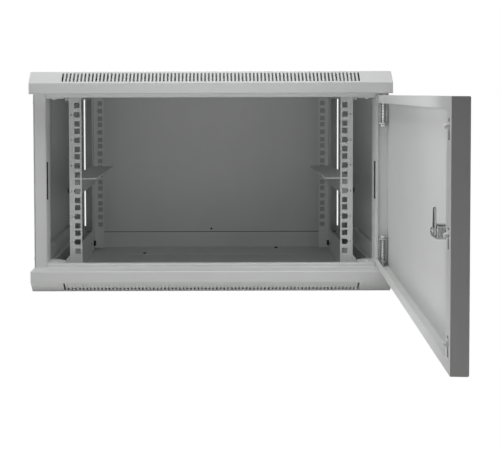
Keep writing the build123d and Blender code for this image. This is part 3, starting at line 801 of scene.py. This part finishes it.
# painted shade behind the rear rails' holes: a darker backing so the holes read as lying in shadow
railHoleShade = {
    "inset": 0.001,  # from the rail's inner edge
    "width": 0.0135,
    "thickness": 0.0008,
    "halfHeight": 0.1315,
    "dark": (0.38, 0.385, 0.38),
    "light": (0.43, 0.435, 0.43),
}


def stripMesh(low, high, along):
    # a strip with softened long edges, from an eight-sided outline run along one axis
    across = [(along + 1) % 3, (along + 2) % 3]
    middle = [(low[i] + high[i]) / 2 for i in across]
    wide, tall = ((high[i] - low[i]) / 2 for i in across)
    cut = min(paintedShadeStrip["corner"], wide / 2, tall / 2)
    outline = [(wide - cut, tall), (wide, tall - cut), (wide, cut - tall), (wide - cut, -tall),
               (cut - wide, -tall), (-wide, cut - tall), (-wide, tall - cut), (cut - wide, tall)]
    points = []
    for end in (low[along], high[along]):
        for offsets in outline:
            point = [end, end, end]
            for i, offset, centre in zip(across, offsets, middle):
                point[i] = centre + offset
            points.append(point)
    count = len(outline)
    faces = [(i, (i + 1) % count, count + (i + 1) % count, count + i) for i in range(count)]
    faces += [tuple(range(count))[::-1], tuple(range(count, 2 * count))]
    return cleanMesh("paintedShadeStrip", points, faces)


# the rail strips' darker tones are painted shade, not a coat the cabinet has
tones = {key: railHoleShade[key] for key in ("dark", "light")}
railShadeCoat = makePowderCoat("paintedRailShadeCoat", {**powderCoat, **tones})
blackened = finishes["blackened_steel"]
low, high, middle = boxOf("rear_panel")
start, end, tall = low.x + paintedShadeStrip["ends"], high.x - paintedShadeStrip["ends"], paintedShadeStrip["height"]
strips = {  # low corner, high corner, the axis that it runs along, finish
    "lowerSeamStrip": ((start, middle.y, low.z - tall), (end, high.y, low.z), 0, blackened),
    "upperSeamStrip": ((start, middle.y, high.z), (end, high.y, high.z + tall), 0, blackened),
}
for side in ("left", "right"):
    low, high, _ = boxOf(f"rear_{side}_rack_rail")
    inset, wide = railHoleShade["inset"], railHoleShade["width"]
    start = low.x + inset if side == "right" else high.x - inset - wide
    back, reach = high.y + railHoleShade["thickness"], railHoleShade["halfHeight"]
    strips[f"{side}RailBackStrip"] = (
        (start, high.y, -reach), (start + wide, back, reach), 2, railShadeCoat)
for pieceName, (low, high, along, coat) in strips.items():
    strip = meshObject(pieceName, stripMesh(low, high, along), coat)
    dress(strip, "cabinet", "blackened_steel")
print("plugs and strips made:", len(spots), "and", len(strips))


# Dark collars round the slots that the lock's cam enters: painted shade, so the slots read as dark openings

slotShadeCollar = {
    "height": 0.064,
    "depth": 0.009,
    "fromFace": 0.0025,  # from the post's front face to the slot
    "postSheet": 0.0015,
    "wall": 0.0006,
    "proud": 0.001,  # on the opening's side
    "behind": 0.0004,
    "corner": 0.0012,
}


def shadeCollarTree():
    # a thin wall swept round a slot's rounded outline, flat in XY
    tree = nodeGroup("slotShadeCollar")
    addSizes(tree, Depth=0.009, Height=0.064, Wall=0.0006, Reach=0.003, Corner=0.001)
    addInput(tree, "Finish", "NodeSocketMaterial")
    given = tree.nodes.new("NodeGroupInput").outputs
    outline = addNode(tree, "GeometryNodeCurvePrimitiveQuadrilateral", {
        "Width": addMath(tree, "SUBTRACT", given["Depth"], given["Wall"]),
        "Height": addMath(tree, "SUBTRACT", given["Height"], given["Wall"])})
    rounded = addNode(tree, "GeometryNodeFilletCurve", {
        "Curve": outline.outputs["Curve"], "Count": 4, "Radius": given["Corner"]}, mode="POLY")
    wall = addNode(tree, "GeometryNodeCurvePrimitiveQuadrilateral", {
        "Width": given["Wall"], "Height": given["Reach"]})
    mesh = addNode(tree, "GeometryNodeCurveToMesh", {
        "Curve": rounded.outputs["Curve"], "Profile Curve": wall.outputs["Curve"]})
    return endTree(tree, mesh.outputs["Mesh"], given["Finish"])


collar = shadeCollarTree()
reach = slotShadeCollar["proud"] + slotShadeCollar["postSheet"] + slotShadeCollar["behind"]
for side, sign in (("left", -1), ("right", 1)):
    low, high, _ = boxOf(f"front_{side}_post")
    inner = low.x if sign > 0 else high.x
    # the blackened lining stands in for the shade inside the slot
    made = pointObject(f"{side}SlotCollar", [(inner, low.y, 0.0)])
    growFromTree(made, collar, {
        "Depth": slotShadeCollar["depth"], "Height": slotShadeCollar["height"], "Wall": slotShadeCollar["wall"],
        "Reach": reach, "Corner": slotShadeCollar["corner"], "Finish": blackened})
    middle = Vector((inner + sign * (reach / 2 - slotShadeCollar["proud"]),
                     low.y + slotShadeCollar["fromFace"] + slotShadeCollar["depth"] / 2, 0.0))
    # the outline's X goes along Y, and its Y upright
    turn = Matrix(((0, 0, 1, 0), (1, 0, 0, 0), (0, 1, 0, 0), (0, 0, 0, 1)))
    made.data.transform(Matrix.Translation(middle) @ turn)
    dress(made, "cabinet", "blackened_steel")
print("slot collars made")


# Unit numbers printed on the front rails

unitMarks = {
    "fontSize": 0.00588,
    "curveSteps": 2,
    "thickness": 0.00004,
    "fromMiddle": 0.2427,
    "unitHeight": 0.04445,
    "units": 6,
}


def markMesh(text, place):
    curve = bpy.data.curves.new("unitMark", "FONT")
    curve.body = text
    curve.size = unitMarks["fontSize"]
    curve.extrude = unitMarks["thickness"]
    curve.resolution_u = unitMarks["curveSteps"]
    curve.align_x, curve.align_y = "CENTER", "CENTER"
    written = bpy.data.objects.new("unitMark", curve)
    bpy.context.scene.collection.objects.link(written)
    bpy.context.view_layer.update()
    evaluated = written.evaluated_get(bpy.context.evaluated_depsgraph_get())
    mesh = bpy.data.meshes.new_from_object(evaluated)
    bpy.data.objects.remove(written)
    mesh.transform(place)
    return mesh


printInk = makePlating("printedMarks", plating["blackened"])
railFront = boxOf("front_right_rack_rail")[0].y
for unit in range(unitMarks["units"]):
    z = (unit + 0.5 - unitMarks["units"] / 2) * unitMarks["unitHeight"]
    for side, sign in (("L", -1), ("R", 1)):
        spot = Vector((sign * unitMarks["fromMiddle"], railFront - unitMarks["thickness"], z))
        place = Matrix.Translation(spot) @ Matrix.Rotation(math.pi / 2, 4, "X")
        mesh = markMesh(str(unit + 1), place)
        mark = meshObject(f"unitMark{unit + 1}{side}", mesh, printInk)
        dress(mark, "cabinet", "blackened_steel")
print("unit marks made:", 2 * unitMarks["units"])


# Studio: pale floor, soft lamps and the camera

studio = {
    "floorReach": 30.0,
    "floorGap": 0.0005,  # below the cabinet's underside
    "floorDark": (0.78, 0.78, 0.77),
    "floorLight": (0.80, 0.80, 0.79),
    "floorDrift": 0.8,
    "floorRoughness": 0.8,
    "floorGlow": 1.03,
    "floorShadow": 0.03,  # how much of the floor's own shading the camera sees
    "ambient": 0.03,
    "lamps": {
        "overheadLamp": {"at": (0.0, -0.60, 1.15), "aim": (0.0, -0.60, 0.0),
                         "size": (1.2, 0.40), "power": 4.2},
        "frontLamp": {"at": (0.0, -0.83, 1.0), "aim": (0.0, -0.62, 0.0),
                      "size": (1.2, 0.32), "power": 4.0},
        "leftLamp": {"at": (-1.5, -0.70, 0.35), "aim": (0.3, -0.72, 0.0),
                     "size": (0.5, 0.7), "power": 5.2},
        "insideLamp": {"at": (0.0, -0.97, 0.10), "aim": (0.0, 0.0, 0.0),
                       "size": (0.30, 0.10), "power": 0.50},
    },
}


def seenDirectly(tree):
    # 1 for the camera, and for what metal and glass show of the background
    path = addNode(tree, "ShaderNodeLightPath").outputs
    seen = path["Is Camera Ray"]
    for ray in ("Is Glossy Ray", "Is Transmission Ray"):
        seen = addMath(tree, "MAXIMUM", seen, path[ray])
    return seen


def makeFloor():
    low = cadBox[0].z - studio["floorGap"]
    reach = studio["floorReach"]
    mesh = bpy.data.meshes.new("studioFloor")
    corners = [(x * reach, y * reach, low) for x, y in ((-1, -1), (1, -1), (1, 1), (-1, 1))]
    mesh.from_pydata(corners, [], [(0, 1, 2, 3)])
    material, tree, shader, place = newMaterial("paleFloor")
    colour = tonesOver(tree, place, studio["floorDrift"], studio["floorDark"], studio["floorLight"])
    tree.links.new(colour, shader.inputs["Base Color"])
    shader.inputs["Roughness"].default_value = studio["floorRoughness"]
    glow = addNode(tree, "ShaderNodeEmission", {"Color": (1, 1, 1, 1),
                                                "Strength": studio["floorGlow"]})
    shaded = addNode(tree, "ShaderNodeMixShader", {
        0: studio["floorShadow"], 1: glow.outputs[0], 2: shader.outputs[0]})
    mixed = addNode(tree, "ShaderNodeMixShader", {
        0: seenDirectly(tree), 1: shader.outputs[0], 2: shaded.outputs[0]})
    tree.links.new(mixed.outputs[0], tree.nodes["Material Output"].inputs["Surface"])
    floor = meshObject("studioFloor", mesh, material)


def makeWorld():
    world = bpy.data.worlds.new("studio")
    bpy.context.scene.world = world
    world.use_nodes = True
    tree = world.node_tree
    background = tree.nodes["Background"]
    strength = spread(tree, seenDirectly(tree), studio["ambient"], 1.0)
    background.inputs["Color"].default_value = (1, 1, 1, 1)
    tree.links.new(strength, background.inputs["Strength"])


def makeLamp(name, settings):
    lamp = bpy.data.lights.new(name, "AREA")
    lamp.shape = "RECTANGLE"
    lamp.size, lamp.size_y = settings["size"]
    lamp.energy = settings["power"]
    made = bpy.data.objects.new(name, lamp)
    bpy.context.scene.collection.objects.link(made)
    made.location = settings["at"]
    made.visible_camera = False
    made.rotation_mode = "QUATERNION"
    towards = Vector(settings["aim"]) - Vector(settings["at"])
    made.rotation_quaternion = towards.to_track_quat("-Z", "Y")


photoView = {
    "eye": (0.0017, -1.9257, 0.1475),
    "pitch": 2.0,
    "roll": -0.165,
    "focalPixels": 895.9,
    "opticalCentre": (211.9, 124.7),
    "frame": (500, 450),
    "sensorWidth": 36,
}


def makeCamera():
    width, height = photoView["frame"]
    camera = bpy.data.cameras.new("photoCamera")
    camera.sensor_width = photoView["sensorWidth"]
    camera.lens = photoView["focalPixels"] * photoView["sensorWidth"] / width
    camera.shift_x = (width / 2 - photoView["opticalCentre"][0]) / width
    camera.shift_y = (photoView["opticalCentre"][1] - height / 2) / width
    made = bpy.data.objects.new("photoCamera", camera)
    bpy.context.scene.collection.objects.link(made)
    made.location = photoView["eye"]
    made.rotation_mode = "ZXY"
    made.rotation_euler = (math.radians(90 - photoView["pitch"]), 0,
                           math.radians(photoView["roll"]))
    bpy.context.scene.camera = made


makeFloor()
makeWorld()
for lampName, lampSettings in studio["lamps"].items():
    makeLamp(lampName, lampSettings)
makeCamera()
bpy.context.scene.view_settings.view_transform = "Standard"
print("studio set up")
